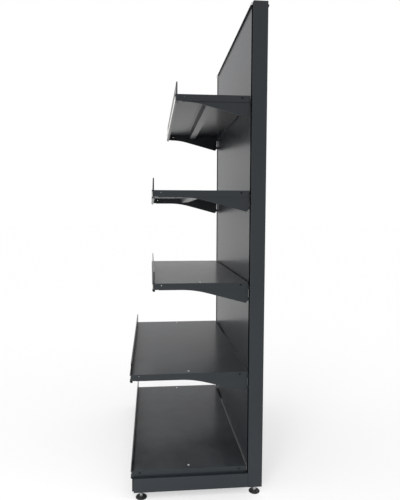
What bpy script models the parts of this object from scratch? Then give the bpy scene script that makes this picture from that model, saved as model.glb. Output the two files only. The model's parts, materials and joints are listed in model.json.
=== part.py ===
"""Retail shelving unit: one single-sided bay of slotted uprights, hooked brackets and steel shelves.

Metres, +Z up. The front of the bay looks along -Y, and the floor is Z = 0.
"reach" is a distance forward from the front faces of the uprights, so -reach lies behind them.
"""
import math

import bmesh
import bpy
from mathutils import Matrix, Vector

# Frame
BAY_LENGTH = 1.000
TUBE_DEPTH = 0.065
TUBE_WIDTH = 0.030
TUBE_WALL = 0.002
TUBE_CORNER = 0.0024
LEG_LIP_GAP = 0.0015
SHEET = 0.001
FIT = 0.0003
CUT_OVERRUN = 0.001

# Slotted groove in the front of each upright
GROOVE_LIP = 0.0022
GROOVE_DEPTH = 0.004
SLOT_PITCH = 0.050
SLOT_HEIGHT = 0.028
SLOT_CLEARANCE = 0.0003
SLOT_OFFSET = 0.005
BLANK_SLOTS = 2
SLOT_TOP_MARGIN = 0.025
TOP_HEADROOM = 0.408

# Top caps
CAP_HEIGHT = 0.006
CAP_INSET = 0.0015
CAP_PLUG = 0.004
CAP_EDGE = 0.002

# Levelling feet
FOOT_HEIGHT = 0.028
FOOT_SETBACK = 0.033
PAD_RADIUS = 0.025
PAD_RIM = 0.003
PAD_SHOULDER = 0.005
PAD_CROWN = 0.006
PAD_BOSS_RADIUS = 0.010
PAD_BOSS_TOP = 0.0085
PAD_FLOOR = 0.003
STUD_RADIUS = 0.005
STUD_ENGAGEMENT = 0.040
COLLAR_RADIUS = 0.0085
COLLAR_HEIGHT = 0.005
THREAD_CLEARANCE = 0.0004
NUT_RADIUS = 0.0098
NUT_HEIGHT = 0.008
FOOT_PLATE_HEIGHT = 0.006

# Shelves, the bracketed ones from the lowest to the highest
BASE_DEPTH = 0.500
SHELF_DEPTHS = (0.500, 0.400, 0.400, 0.300)
SHELF_SLOTS = (10, 18, 26, 34)
HOOK_DROP = 0.030
SHELF_END_GAP = 0.0005
REAR_GAP = 0.0055
REAR_FLANGE = 0.025
SIDE_FLANGE = 0.028
LIP_REACH = 0.0245
LIP_HEIGHT = 0.036
LIP_RETURN = 0.012
LIP_TURN_UP = 0.006
HEM_HEIGHT = 0.003
CHANNEL_DEPTH = 0.0035
NOSE_HEIGHT = 0.007
NOSE_FLAT = 0.002
NOSE_CHAMFER = 0.005
FLANGE_HOLE_RADIUS = 0.0019
FLANGE_HOLE_DROP = 0.010
FRONT_HOLE_SETBACK = 0.015
REAR_HOLE_REACH = 0.039
RETURN_HOLE_RADIUS = 0.002

# Stiffener under each deck
HAT_DEPTH = 0.022
HAT_FLOOR = 0.033
HAT_SLOPE = 0.008
HAT_FLANGE = 0.012
BRACKET_SIDE_GAP = 0.002
HAT_TAB = 0.034

# Front stop, a folded strip that plugs into the deck
STOP_HEIGHT = 0.051
STOP_THICKNESS = 0.005
STOP_LIP_GAP = 0.0005
STOP_END_GAP = 0.001
STOP_TABS = 3
STOP_TAB_WIDTH = 0.030
STOP_TAB_DROP = 0.012
STOP_TAB_ROOT = 0.010

# Ticket strip in the lip's channel
STRIP_THICKNESS = 0.0026
STRIP_END_GAP = 0.030

# Shelf brackets
BRACKET_THICKNESS = 0.003
BRACKET_FRONT_SETBACK = 0.004
BRACKET_FRONT_DROP = 0.030
BRACKET_HEEL = 0.011
BRACKET_CORNER_REACH = 0.244
BRACKET_FILLET = 0.450
FILLET_RUN_SHARE = 0.9
BRACKET_TOP_GAP = 0.003
BRACKET_HOOK_GAP = 0.0045
BRACKET_HEEL_GAP = 0.015
HOOKS = 2
HOOK_HEIGHT = 0.014
HOOK_TOOTH = 0.008
HOOK_TOOTH_WIDTH = 0.0035
HOOK_CLEARANCE = 0.0005

# Back panels, rails and plinth
PANEL_SETBACK = 0.0015
PANEL_RETURN = 0.016
PANEL_SEAM_DROP = 0.0125
BOTTOM_RAIL_LIFT = 0.016
TOP_RAIL_LIP = 0.005
TOP_RAIL_HEM = 0.003
TOP_RAIL_LEG = 0.020
PLINTH_DEPTH = 0.0065
PLINTH_LIFT = 0.009
LEG_PLUG_DEPTH = 0.018

# Tie bolts
BOLT_RADIUS = 0.003
BOLT_HOLE_CLEARANCE = 0.0004
BOLT_HEAD_RADIUS = 0.0058
BOLT_HEAD_HEIGHT = 0.005
BOLT_LENGTH = 0.016
BOLT_CAP_GAP = 0.001

# Facets of round pieces, and the angle up to which they are shaded smooth
SMOOTH_ANGLE = math.radians(35)
FINE_SIDES = 24
STUD_SIDES = 12
SMALL_SIDES = 8
HEX_SIDES = 6
CORNER_STEPS = 3
FILLET_STEPS = 8

# Places worked out from the sizes above
FRONT_REACH = BASE_DEPTH + LIP_REACH
LEG_REACH = FRONT_REACH - LIP_RETURN - LEG_LIP_GAP
BACK_REACH = TUBE_DEPTH + FIT + BOLT_HEAD_HEIGHT
FRONT_Y = (FRONT_REACH - BACK_REACH) / 2
UPRIGHT_X = BAY_LENGTH / 2
UPRIGHT_LENGTH = SHELF_SLOTS[-1] * SLOT_PITCH + TOP_HEADROOM
UPRIGHT_TOP = FOOT_HEIGHT + UPRIGHT_LENGTH
BOLT_Z = UPRIGHT_TOP - CAP_PLUG - BOLT_CAP_GAP - BOLT_RADIUS
STUD_TOP = FOOT_HEIGHT + STUD_ENGAGEMENT
LEG_TOP = FOOT_HEIGHT + TUBE_DEPTH
BASE_DECK_Z = LEG_TOP + FIT + SIDE_FLANGE
SHELF_DECK_Z = [FOOT_HEIGHT + slot * SLOT_PITCH + HOOK_DROP for slot in SHELF_SLOTS]
DECK_HALF = BAY_LENGTH / 2 - SHELF_END_GAP
PANEL_HALF = BAY_LENGTH / 2 - TUBE_WIDTH / 2 - FIT
GROOVE_BACK = GROOVE_DEPTH + TUBE_WALL
SLOT_COUNT = int((UPRIGHT_LENGTH - SLOT_TOP_MARGIN - SLOT_HEIGHT) / SLOT_PITCH) + 1 - BLANK_SLOTS
SLOT_WIDTH = BRACKET_THICKNESS + SLOT_CLEARANCE * 2
BRACKET_INNER_X = BAY_LENGTH / 2 - SLOT_OFFSET - BRACKET_THICKNESS / 2
LAST_HOOK_DROP = HOOK_DROP + (HOOKS - 1) * SLOT_PITCH
BRACKET_REAR_DROP = LAST_HOOK_DROP + BRACKET_HEEL
SIDES = {"left": -1, "right": 1}

# Finishes: colour, roughness and metallic value
FINISHES = {
    "anthracite_paint": ((0.040, 0.045, 0.048, 1.0), 0.35, 0.0),
    "anthracite_plastic": ((0.038, 0.042, 0.045, 1.0), 0.50, 0.0),
    "black_plastic": ((0.010, 0.010, 0.011, 1.0), 0.45, 0.0),
    "ticket_white": ((0.820, 0.800, 0.740, 1.0), 0.40, 0.0),
    "bright_zinc": ((0.620, 0.630, 0.640, 1.0), 0.30, 1.0),
}


def clear_scene():
    """Remove what the start-up file holds."""
    for old in list(bpy.data.objects):
        bpy.data.objects.remove(old)


def new_collection(name):
    """Make a collection in the scene."""
    collection = bpy.data.collections.new(name)
    bpy.context.scene.collection.children.link(collection)
    return collection


def new_finish(name):
    """Make a Principled material from the table of finishes."""
    colour, roughness, metallic = FINISHES[name]
    material = bpy.data.materials.new(name)
    material.use_nodes = True
    shader = material.node_tree.nodes["Principled BSDF"]
    shader.inputs["Base Color"].default_value = colour
    shader.inputs["Roughness"].default_value = roughness
    shader.inputs["Metallic"].default_value = metallic
    material.diffuse_color = colour
    return material


clear_scene()
PARTS = new_collection("retail_shelving_unit")
CUTTERS = new_collection("cutters")
MATERIALS = {name: new_finish(name) for name in FINISHES}


# Shared modelling tools

def add_object(name, mesh, finish, frame=None):
    """Put a mesh into the model as a named part with a finish."""
    part = bpy.data.objects.new(name, mesh)
    mesh.materials.clear()
    mesh.materials.append(MATERIALS[finish])
    PARTS.objects.link(part)
    if frame is not None:
        part.matrix_world = frame
    return part


def add_cutter(name, mesh):
    """Put a mesh among the hidden shapes that cut or extend parts."""
    cutter = bpy.data.objects.new(name, mesh)
    cutter.hide_render = True
    cutter.display_type = "WIRE"
    CUTTERS.objects.link(cutter)
    return cutter


def combine(part, operation, mesh):
    """Cut a part with a mesh (DIFFERENCE) or extend it by one (UNION)."""
    modifier = part.modifiers.new(operation.lower(), "BOOLEAN")
    modifier.operation = operation
    modifier.solver = "EXACT"
    modifier.object = add_cutter(part.name + "_" + mesh.name, mesh)


def evaluated_mesh(source):
    """Turn a curve or a modified object into a plain welded mesh, and remove the object."""
    bpy.context.scene.collection.objects.link(source)
    graph = bpy.context.evaluated_depsgraph_get()
    mesh = bpy.data.meshes.new_from_object(source.evaluated_get(graph))
    bpy.data.objects.remove(source)
    shape = bmesh.new()
    shape.from_mesh(mesh)
    bmesh.ops.remove_doubles(shape, verts=shape.verts, dist=1e-6)
    bmesh.ops.recalc_face_normals(shape, faces=shape.faces)
    shape.to_mesh(mesh)
    shape.free()
    return mesh


def outline_mesh(name, loops, length):
    """Fill closed loops of 2D points, the later ones as holes, and extrude them evenly both ways."""
    curve = bpy.data.curves.new(name, "CURVE")
    curve.dimensions = "2D"
    curve.fill_mode = "BOTH"
    curve.extrude = length / 2
    for loop in loops:
        spline = curve.splines.new("POLY")
        spline.points.add(len(loop) - 1)
        for point, (u, v) in zip(spline.points, loop):
            point.co = (u, v, 0, 1)
        spline.use_cyclic_u = True
    mesh = evaluated_mesh(bpy.data.objects.new(name, curve))
    mesh.name = name
    return mesh


def turned_mesh(name, profile, sides):
    """Turn a profile of (radius, height) points, listed from the top down, about the Z axis."""
    mesh = bpy.data.meshes.new(name)
    vertices = [(radius, 0, height) for radius, height in profile]
    mesh.from_pydata(vertices, [(i, i + 1) for i in range(len(vertices) - 1)], [])
    holder = bpy.data.objects.new(name, mesh)
    screw = holder.modifiers.new("turn", "SCREW")
    screw.axis = "Z"
    screw.steps = sides
    screw.render_steps = sides
    screw.use_merge_vertices = True
    screw.merge_threshold = 0.00001
    turned = evaluated_mesh(holder)
    turned.name = name
    turned.shade_smooth()
    turned.set_sharp_from_angle(angle=SMOOTH_ANGLE)
    return turned


def mesh_from_bmesh(name, shape):
    """Close a bmesh into a mesh with a name."""
    mesh = bpy.data.meshes.new(name)
    shape.to_mesh(mesh)
    shape.free()
    return mesh


def boxes_mesh(name, spans):
    """Boxes from spans of (low x, high x, low reach, high reach, low z, high z)."""
    shape = bmesh.new()
    for x0, x1, reach0, reach1, z0, z1 in spans:
        centre = Vector(((x0 + x1) / 2, FRONT_Y - (reach0 + reach1) / 2, (z0 + z1) / 2))
        size = Vector((x1 - x0, reach1 - reach0, z1 - z0))
        place = Matrix.Translation(centre) @ Matrix.Diagonal(size.to_4d())
        bmesh.ops.create_cube(shape, size=1, matrix=place)
    return mesh_from_bmesh(name, shape)


def pegs_mesh(name, places, axis, radius, length, sides):
    """Round pegs along X, Y or Z, centred on places of (x, reach, z)."""
    turn = {"X": Matrix.Rotation(math.pi / 2, 4, "Y"), "Y": Matrix.Rotation(math.pi / 2, 4, "X"),
            "Z": Matrix.Identity(4)}[axis]
    shape = bmesh.new()
    for x, reach, z in places:
        place = Matrix.Translation((x, FRONT_Y - reach, z)) @ turn
        bmesh.ops.create_cone(shape, cap_ends=True, segments=sides, radius1=radius, radius2=radius,
                              depth=length, matrix=place)
    return mesh_from_bmesh(name, shape)


def offset_path(points, distance):
    """Shift an open path to its right by a distance, with mitred corners."""
    headings = [(Vector(b) - Vector(a)).normalized() for a, b in zip(points, points[1:])]
    rights = [Vector((heading.y, -heading.x)) for heading in headings]
    shifted = [Vector(points[0]) + rights[0] * distance]
    for i in range(1, len(points) - 1):
        mitre = rights[i - 1] + rights[i]
        shifted.append(Vector(points[i]) + mitre * (distance / (1 + rights[i - 1].dot(rights[i]))))
    shifted.append(Vector(points[-1]) + rights[-1] * distance)
    return [tuple(point) for point in shifted]


def sheet_outline(path, thickness=SHEET):
    """The section of a folded sheet: a path along its outer face, and its inner face on the right."""
    return list(path) + offset_path(path, thickness)[::-1]


def rectangle(u0, u1, v0, v1):
    """A rectangle's corners."""
    return [(u0, v0), (u1, v0), (u1, v1), (u0, v1)]


def ring(u, v, radius, sides):
    """A round hole's corners."""
    angles = [2 * math.pi * i / sides for i in range(sides)]
    return [(u + radius * math.cos(angle), v + radius * math.sin(angle)) for angle in angles]


def fillet(before, corner, after, radius, steps):
    """Points of an arc that rounds a corner between two straight runs."""
    corner = Vector(corner)
    to_before = (Vector(before) - corner).normalized()
    to_after = (Vector(after) - corner).normalized()
    half_angle = math.acos(max(-1.0, min(1.0, to_before.dot(to_after)))) / 2
    centre = corner + (to_before + to_after).normalized() * (radius / math.sin(half_angle))
    start = corner + to_before * (radius / math.tan(half_angle)) - centre
    end = corner + to_after * (radius / math.tan(half_angle)) - centre
    sweep = math.atan2(start.x * end.y - start.y * end.x, start.dot(end))
    turns = [Matrix.Rotation(sweep * i / steps, 2) for i in range(steps + 1)]
    return [tuple(centre + turn @ start) for turn in turns]


def rounded(points, radius, steps=CORNER_STEPS):
    """Round every corner of a closed loop."""
    result = []
    for i, corner in enumerate(points):
        result += fillet(points[i - 1], corner, points[(i + 1) % len(points)], radius, steps)
    return result


def section_frame(x, z):
    """A frame whose X runs forward from the upright fronts, Y upward and Z along the bay."""
    turn = Matrix(((0, 0, -1), (-1, 0, 0), (0, 1, 0)))
    return Matrix.Translation((x, FRONT_Y, z)) @ turn.to_4x4()


def facing_frame(x, reach, z, direction):
    """A frame at a place whose Z axis points in a direction."""
    turn = Vector(direction).to_track_quat("Z", "Y").to_matrix().to_4x4()
    return Matrix.Translation((x, FRONT_Y - reach, z)) @ turn


# Frame: uprights, caps, legs and their inner plates and nuts

def foot_places():
    """Each foot's name, x and reach."""
    places = []
    for side, sign in SIDES.items():
        places.append(("front_" + side, sign * UPRIGHT_X, LEG_REACH - FOOT_SETBACK))
        places.append(("rear_" + side, sign * UPRIGHT_X, -TUBE_DEPTH / 2))
    return places


def make_upright(side):
    """A slotted rectangular tube with a groove down its front."""
    x = SIDES[side] * UPRIGHT_X
    half = TUBE_WIDTH / 2
    groove = half - GROOVE_LIP
    lip_corner = min(TUBE_CORNER, GROOVE_LIP - FIT)
    front = [(-groove, 0), (-groove, GROOVE_DEPTH), (groove, GROOVE_DEPTH), (groove, 0)]
    corners = [(half, 0), (half, TUBE_DEPTH), (-half, TUBE_DEPTH), (-half, 0)]
    neighbours = [front[-1]] + corners + [front[0]]
    outer = list(front)
    radii = [lip_corner, TUBE_CORNER, TUBE_CORNER, lip_corner]
    for i, radius in enumerate(radii):
        outer += fillet(neighbours[i], neighbours[i + 1], neighbours[i + 2], radius, CORNER_STEPS)
    inner = rectangle(-half + TUBE_WALL, half - TUBE_WALL, GROOVE_BACK, TUBE_DEPTH - TUBE_WALL)
    mesh = outline_mesh("tube", [outer, inner], UPRIGHT_LENGTH)
    place = Matrix.Translation((x, FRONT_Y, FOOT_HEIGHT + UPRIGHT_LENGTH / 2))
    upright = add_object("upright_" + side, mesh, "anthracite_paint", place)
    slots = []
    for column in (-SLOT_OFFSET, SLOT_OFFSET):
        for i in range(SLOT_COUNT):
            z = FOOT_HEIGHT + (BLANK_SLOTS + i) * SLOT_PITCH
            slots.append((x + column - SLOT_WIDTH / 2, x + column + SLOT_WIDTH / 2,
                          -GROOVE_BACK - CUT_OVERRUN, -GROOVE_DEPTH + CUT_OVERRUN, z, z + SLOT_HEIGHT))
    combine(upright, "DIFFERENCE", boxes_mesh("slots", slots))
    bolt_place = [(x, -TUBE_DEPTH, BOLT_Z)]
    combine(upright, "DIFFERENCE", pegs_mesh("bolt_hole", bolt_place, "Y", BOLT_RADIUS + BOLT_HOLE_CLEARANCE,
                                             (TUBE_WALL + CUT_OVERRUN) * 2, SMALL_SIDES))


def make_top_cap(side):
    """A low cap with a plug on the open top of an upright."""
    x = SIDES[side] * UPRIGHT_X
    half = TUBE_WIDTH / 2
    low = UPRIGHT_TOP + FIT
    plate = (x - half, x + half, -TUBE_DEPTH, -CAP_INSET, low, low + CAP_HEIGHT)
    cap = add_object("top_cap_" + side, boxes_mesh("plate", [plate]), "anthracite_plastic")
    edge = cap.modifiers.new("edge", "BEVEL")
    edge.width = CAP_EDGE
    edge.segments = CORNER_STEPS
    edge.limit_method = "NONE"
    inner = half - TUBE_WALL - FIT
    plug = (x - inner, x + inner, -TUBE_DEPTH + TUBE_WALL + FIT, -GROOVE_BACK - FIT,
            UPRIGHT_TOP - CAP_PLUG, low + CAP_HEIGHT / 2)
    combine(cap, "UNION", boxes_mesh("plug", [plug]))


def make_leg(side):
    """A base leg: the upright's tube lying on its edge, welded square to the upright's front."""
    x = SIDES[side] * UPRIGHT_X
    half = TUBE_WIDTH / 2
    outer = rounded(rectangle(-half, half, FOOT_HEIGHT, LEG_TOP), TUBE_CORNER)
    inner = rectangle(-half + TUBE_WALL, half - TUBE_WALL, FOOT_HEIGHT + TUBE_WALL, LEG_TOP - TUBE_WALL)
    mesh = outline_mesh("tube", [outer, inner], LEG_REACH - FIT)
    turn = Matrix(((1, 0, 0), (0, 0, -1), (0, 1, 0)))
    place = Matrix.Translation((x, FRONT_Y - (LEG_REACH + FIT) / 2, 0)) @ turn.to_4x4()
    leg = add_object("base_leg_" + side, mesh, "anthracite_paint", place)
    stud_hole = [(x, LEG_REACH - FOOT_SETBACK, FOOT_HEIGHT)]
    combine(leg, "DIFFERENCE", pegs_mesh("stud_hole", stud_hole, "Z", STUD_RADIUS + THREAD_CLEARANCE,
                                         (TUBE_WALL + CUT_OVERRUN) * 2, STUD_SIDES))


def make_leg_nut(side):
    """A weld nut inside a leg, over its front foot."""
    hole = ring(0, 0, STUD_RADIUS + THREAD_CLEARANCE, STUD_SIDES)
    mesh = outline_mesh("nut", [ring(0, 0, NUT_RADIUS, HEX_SIDES), hole], NUT_HEIGHT)
    z = FOOT_HEIGHT + TUBE_WALL + FIT + NUT_HEIGHT / 2
    place = Matrix.Translation((SIDES[side] * UPRIGHT_X, FRONT_Y - LEG_REACH + FOOT_SETBACK, z))
    add_object("leg_nut_" + side, mesh, "bright_zinc", place)


def make_foot_plate(side):
    """A threaded plate that closes the lower end of an upright and carries its rear foot."""
    half = TUBE_WIDTH / 2 - TUBE_WALL - FIT
    plate = rectangle(-half, half, GROOVE_BACK + FIT, TUBE_DEPTH - TUBE_WALL - FIT)
    hole = ring(0, TUBE_DEPTH / 2, STUD_RADIUS + THREAD_CLEARANCE, STUD_SIDES)
    mesh = outline_mesh("plate", [plate, hole], FOOT_PLATE_HEIGHT)
    place = Matrix.Translation((SIDES[side] * UPRIGHT_X, FRONT_Y, FOOT_HEIGHT + FIT + FOOT_PLATE_HEIGHT / 2))
    add_object("foot_plate_" + side, mesh, "bright_zinc", place)


def make_foot(name, x, reach):
    """A levelling foot: a round pad on a zinc stud with a hexagon collar."""
    socket = STUD_RADIUS + FIT
    pad_profile = [(0, PAD_FLOOR), (socket, PAD_FLOOR), (socket, PAD_BOSS_TOP),
                   (PAD_BOSS_RADIUS, PAD_BOSS_TOP), (PAD_BOSS_RADIUS, PAD_CROWN),
                   (PAD_RADIUS - PAD_RIM, PAD_SHOULDER), (PAD_RADIUS, PAD_RIM), (PAD_RADIUS, 0), (0, 0)]
    place = Matrix.Translation((x, FRONT_Y - reach, 0))
    add_object("foot_pad_" + name, turned_mesh("pad", pad_profile, FINE_SIDES), "black_plastic", place)
    seat = PAD_FLOOR + FIT
    stud_profile = [(0, STUD_TOP), (STUD_RADIUS, STUD_TOP), (STUD_RADIUS, seat), (0, seat)]
    stud_mesh = turned_mesh("stud", stud_profile, STUD_SIDES)
    stud = add_object("foot_stud_" + name, stud_mesh, "bright_zinc", place)
    collar = [(x, reach, PAD_BOSS_TOP + FIT + COLLAR_HEIGHT / 2)]
    combine(stud, "UNION", pegs_mesh("collar", collar, "Z", COLLAR_RADIUS, COLLAR_HEIGHT, HEX_SIDES))


# Back: panels, rails and tie bolts

def tray_spans():
    """Name, low edge and high edge of the bottom rail and of each back panel above it."""
    rail_low = FOOT_HEIGHT + BOTTOM_RAIL_LIFT
    seams = [z - PANEL_SEAM_DROP for z in [BASE_DECK_Z] + SHELF_DECK_Z]
    tops = seams[1:] + [UPRIGHT_TOP - SHEET - FIT]
    spans = [("bottom_rail", rail_low, seams[0])]
    for i, (low, high) in enumerate(zip(seams, tops)):
        spans.append(("back_panel_%d" % (i + 1), low + FIT, high))
    return spans


def make_tray(name, low, high):
    """A sheet panel with edges folded back all round, open to the rear."""
    span = (-PANEL_HALF, PANEL_HALF, -PANEL_SETBACK - PANEL_RETURN, -PANEL_SETBACK, low, high)
    mesh = boxes_mesh("tray", [span])
    shape = bmesh.new()
    shape.from_mesh(mesh)
    rear = max(shape.faces, key=lambda face: face.calc_center_median().y)
    bmesh.ops.delete(shape, geom=[rear], context="FACES_ONLY")
    shape.to_mesh(mesh)
    shape.free()
    tray = add_object(name, mesh, "anthracite_paint")
    sheet = tray.modifiers.new("sheet", "SOLIDIFY")
    sheet.thickness = SHEET
    sheet.offset = -1
    sheet.use_even_offset = True


def make_top_rail():
    """A folded rail that clips over the highest panel; its lip runs on across the uprights."""
    back = -PANEL_SETBACK - PANEL_RETURN - FIT - SHEET
    path = [(back, UPRIGHT_TOP - TOP_RAIL_LEG), (back, UPRIGHT_TOP),
            (TOP_RAIL_LIP, UPRIGHT_TOP), (TOP_RAIL_LIP, UPRIGHT_TOP - TOP_RAIL_HEM)]
    mesh = outline_mesh("rail", [sheet_outline(path)], PANEL_HALF * 2)
    rail = add_object("top_rail", mesh, "anthracite_paint", section_frame(0, 0))
    half = UPRIGHT_X + TUBE_WIDTH / 2
    combine(rail, "UNION", boxes_mesh("lip", [(-half, half, TOP_RAIL_LIP - SHEET, TOP_RAIL_LIP,
                                               UPRIGHT_TOP - TOP_RAIL_HEM, UPRIGHT_TOP)]))


def make_back():
    """The bottom rail, the stack of panels and the top rail."""
    for span in tray_spans():
        make_tray(*span)
    make_top_rail()


def make_tie_bolt(side):
    """A hexagon bolt in the rear face of an upright, near its top, for tying the unit to a wall."""
    profile = [(0, BOLT_HEAD_HEIGHT), (BOLT_HEAD_RADIUS, BOLT_HEAD_HEIGHT), (BOLT_HEAD_RADIUS, 0),
               (BOLT_RADIUS, 0), (BOLT_RADIUS, -BOLT_LENGTH), (0, -BOLT_LENGTH)]
    place = facing_frame(SIDES[side] * UPRIGHT_X, -TUBE_DEPTH - FIT, BOLT_Z, (0, 1, 0))
    add_object("tie_bolt_" + side, turned_mesh("bolt", profile, HEX_SIDES), "anthracite_paint", place)


# Plinth and the plugs that hold it

def plinth_span():
    """Low and high edge of the plinth, the high one just under the base shelf's lip."""
    return FOOT_HEIGHT + PLINTH_LIFT, BASE_DECK_Z - LIP_HEIGHT - FIT


def make_plinth():
    """A shallow folded kick plate across the front ends of the legs."""
    low, high = plinth_span()
    back = LEG_REACH + FIT
    front = back + PLINTH_DEPTH
    mesh = outline_mesh("plinth", [sheet_outline([(back, high), (front, high), (front, low), (back, low)])],
                        BAY_LENGTH + TUBE_WIDTH)
    add_object("plinth", mesh, "anthracite_paint", section_frame(0, 0))


def make_leg_plug(side):
    """A plastic plug in the front end of a leg, whose head clips inside the plinth."""
    low, high = plinth_span()
    x = SIDES[side] * UPRIGHT_X
    half = TUBE_WIDTH / 2 - TUBE_WALL - FIT
    body = (x - half, x + half, LEG_REACH - LEG_PLUG_DEPTH, LEG_REACH,
            FOOT_HEIGHT + TUBE_WALL + FIT, LEG_TOP - TUBE_WALL - FIT)
    plug = add_object("leg_plug_" + side, boxes_mesh("body", [body]), "black_plastic")
    head_half = half - FIT
    head = (x - head_half, x + head_half, LEG_REACH - SHEET, LEG_REACH + PLINTH_DEPTH - SHEET,
            low + SHEET + FIT, high - SHEET - FIT)
    combine(plug, "UNION", boxes_mesh("head", [head]))


# Shelves and brackets

def stop_span(depth):
    """Inner and outer reach of a front stop."""
    outer = depth + LIP_REACH - CHANNEL_DEPTH - SHEET - STOP_LIP_GAP
    return outer - STOP_THICKNESS, outer


def stop_tab_centres():
    """Places along the bay of a front stop's tabs."""
    step = DECK_HALF * 2 / STOP_TABS
    return [(i + 0.5) * step - DECK_HALF for i in range(STOP_TABS)]


def deck_middle(depth):
    """Reach of a deck's middle, where the stiffener runs."""
    return (REAR_GAP + depth + LIP_REACH) / 2


def make_deck(name, depth, z):
    """A shelf tray: deck, hollow front lip with a ticket channel, side flanges and rear flange."""
    front = depth + LIP_REACH
    channel = front - CHANNEL_DEPTH
    nose = -LIP_HEIGHT + NOSE_HEIGHT
    lip_end = front - LIP_RETURN
    path = [(REAR_GAP, 0), (front, 0), (front, -HEM_HEIGHT), (channel, -HEM_HEIGHT), (channel, nose),
            (front, nose), (front, nose - NOSE_FLAT), (front - NOSE_CHAMFER, -LIP_HEIGHT),
            (lip_end, -LIP_HEIGHT), (lip_end, -LIP_HEIGHT + LIP_TURN_UP)]
    mesh = outline_mesh("deck", [sheet_outline(path)], DECK_HALF * 2)
    deck = add_object(name + "_deck", mesh, "anthracite_paint", section_frame(0, z))
    buried = z - SHEET / 2
    rear = REAR_GAP + FIT
    flanges = []
    for sign in SIDES.values():
        x0, x1 = sorted((sign * (DECK_HALF - SHEET), sign * DECK_HALF))
        flanges.append((x0, x1, rear, channel - SHEET / 2, z - SIDE_FLANGE, buried))
    combine(deck, "UNION", boxes_mesh("side_flanges", flanges))
    rear_half = BRACKET_INNER_X - BRACKET_SIDE_GAP
    combine(deck, "UNION", boxes_mesh("rear_flange", [(-rear_half, rear_half, rear, rear + SHEET,
                                                       z - REAR_FLANGE, buried)]))
    holes = [(sign * DECK_HALF, reach, z - FLANGE_HOLE_DROP) for sign in SIDES.values()
             for reach in (depth - FRONT_HOLE_SETBACK, REAR_HOLE_REACH)]
    cut = (SHEET + CUT_OVERRUN) * 2
    combine(deck, "DIFFERENCE", pegs_mesh("flange_holes", holes, "X", FLANGE_HOLE_RADIUS, cut, STUD_SIDES))
    return_hole = [(0, front - (NOSE_CHAMFER + LIP_RETURN) / 2, z - LIP_HEIGHT)]
    combine(deck, "DIFFERENCE", pegs_mesh("return_hole", return_hole, "Z", RETURN_HOLE_RADIUS, cut,
                                          STUD_SIDES))
    inner, outer = stop_span(depth)
    tab = STOP_TAB_WIDTH / 2 + FIT
    slots = [(x - tab, x + tab, inner + SHEET / 2 - FIT, outer - SHEET / 2 + FIT,
              z - SHEET - CUT_OVERRUN, z + CUT_OVERRUN) for x in stop_tab_centres()]
    combine(deck, "DIFFERENCE", boxes_mesh("stop_slots", slots))


def make_stiffener(name, depth, z):
    """A hat-section beam under the deck, with flat end tabs for its rivets."""
    middle = deck_middle(depth)
    top = -SHEET - FIT
    floor_half = HAT_FLOOR / 2
    mouth_half = floor_half + HAT_SLOPE
    half_path = [(floor_half, top - HAT_DEPTH), (mouth_half, top), (mouth_half + HAT_FLANGE, top)]
    path = [(middle - reach, height) for reach, height in reversed(half_path)]
    path += [(middle + reach, height) for reach, height in half_path]
    end = BRACKET_INNER_X - BRACKET_SIDE_GAP
    mesh = outline_mesh("hat", [sheet_outline(path)], end * 2)
    hat = add_object(name + "_stiffener", mesh, "anthracite_paint", section_frame(0, z))
    tabs = []
    for sign in SIDES.values():
        x0, x1 = sorted((sign * (end - HAT_TAB), sign * end))
        reach = mouth_half + HAT_FLANGE / 2
        tabs.append((x0, x1, middle - reach, middle + reach, z + top - SHEET, z + top))
    combine(hat, "UNION", boxes_mesh("end_tabs", tabs))


def make_front_stop(name, depth, z):
    """A folded upstand along the front of the deck, with tabs that plug into the deck's slots."""
    inner, outer = stop_span(depth)
    path = [(inner, FIT), (inner, STOP_HEIGHT), (outer, STOP_HEIGHT), (outer, FIT)]
    mesh = outline_mesh("stop", [sheet_outline(path)], (DECK_HALF - STOP_END_GAP) * 2)
    stop = add_object(name + "_front_stop", mesh, "anthracite_paint", section_frame(0, z))
    half = STOP_TAB_WIDTH / 2
    tabs = [(x - half, x + half, inner + SHEET / 2, outer - SHEET / 2, z - STOP_TAB_DROP, z + STOP_TAB_ROOT)
            for x in stop_tab_centres()]
    combine(stop, "UNION", boxes_mesh("tabs", tabs))


def make_ticket_strip(name, depth, z):
    """A pale ticket strip clipped into the channel of the lip."""
    back = depth + LIP_REACH - CHANNEL_DEPTH + FIT
    strip = rectangle(back, back + STRIP_THICKNESS, -LIP_HEIGHT + NOSE_HEIGHT + FIT, -HEM_HEIGHT - FIT)
    mesh = outline_mesh("strip", [strip], (DECK_HALF - STRIP_END_GAP) * 2)
    add_object(name + "_ticket_strip", mesh, "ticket_white", section_frame(0, z))


def bracket_rear(drop):
    """Reach of a bracket's leaning rear edge at a drop below the deck, down to its lowest hook."""
    return BRACKET_TOP_GAP + (BRACKET_HOOK_GAP - BRACKET_TOP_GAP) * drop / LAST_HOOK_DROP


def bracket_outline(depth):
    """A bracket's side outline, relative to the deck's top and the upright's front."""
    front = depth - BRACKET_FRONT_SETBACK
    top = -SHEET - FIT
    corner = (BRACKET_CORNER_REACH, -BRACKET_FRONT_DROP)
    heel = (BRACKET_HEEL_GAP, -BRACKET_REAR_DROP)
    points = [(front, top), (front, -BRACKET_FRONT_DROP)]
    radius = min(BRACKET_FILLET, fillet_limit(front, corner, heel))
    points += fillet(points[-1], corner, heel, radius, FILLET_STEPS)
    points.append(heel)
    tooth_front = -GROOVE_BACK - HOOK_CLEARANCE
    tooth_back = tooth_front - HOOK_TOOTH_WIDTH
    for i in range(HOOKS):
        seat = -HOOK_DROP - (HOOKS - 1 - i) * SLOT_PITCH + FIT
        crown = seat + HOOK_HEIGHT
        points += [(bracket_rear(-seat), seat), (tooth_front, seat), (tooth_front, seat - HOOK_TOOTH),
                   (tooth_back, seat - HOOK_TOOTH), (tooth_back, crown), (bracket_rear(-crown), crown)]
    points.append((bracket_rear(-top), top))
    return points


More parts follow.
